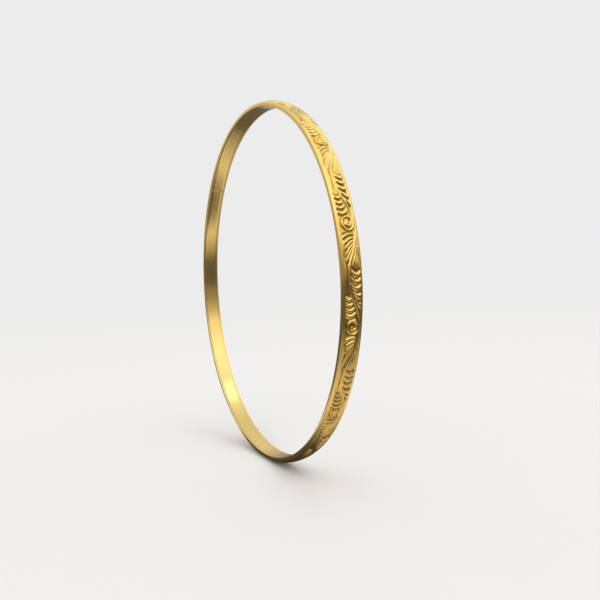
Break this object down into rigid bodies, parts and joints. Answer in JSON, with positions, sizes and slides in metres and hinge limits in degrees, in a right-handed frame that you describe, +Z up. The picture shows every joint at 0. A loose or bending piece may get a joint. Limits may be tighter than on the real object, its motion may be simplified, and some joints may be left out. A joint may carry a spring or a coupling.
{
  "type": "bangle bracelet",
  "caption": "Slip-on bangle bracelet: a closed, hollow metal ring with a domed outer face in scroll relief and a smooth flat lining, worn round the wrist.",
  "frame": {"origin": "centre of the round opening, midway between the two sides of the band", "axes": "+X along the ring's axis towards its right side, +Y towards the back, +Z up, with the bangle upright as it hangs"},
  "size_m": [0.0034, 0.0662, 0.0662],
  "materials": {
    "gold_shell": "polished relief with darker recesses",
    "gold_liner": "polished, finely scratched",
    "gold_solder": "polished",
    "sleeve_metal": "bare, unpolished"
  },
  "bodies": {
    "root": {"outer_shell": "gold_shell", "inner_liner": "gold_liner", "left_edge_solder": "gold_solder", "right_edge_solder": "gold_solder", "shell_joint_solder": "gold_solder", "liner_joint_solder": "gold_solder", "joint_sleeve": "sleeve_metal"}
  },
  "joints": []
}
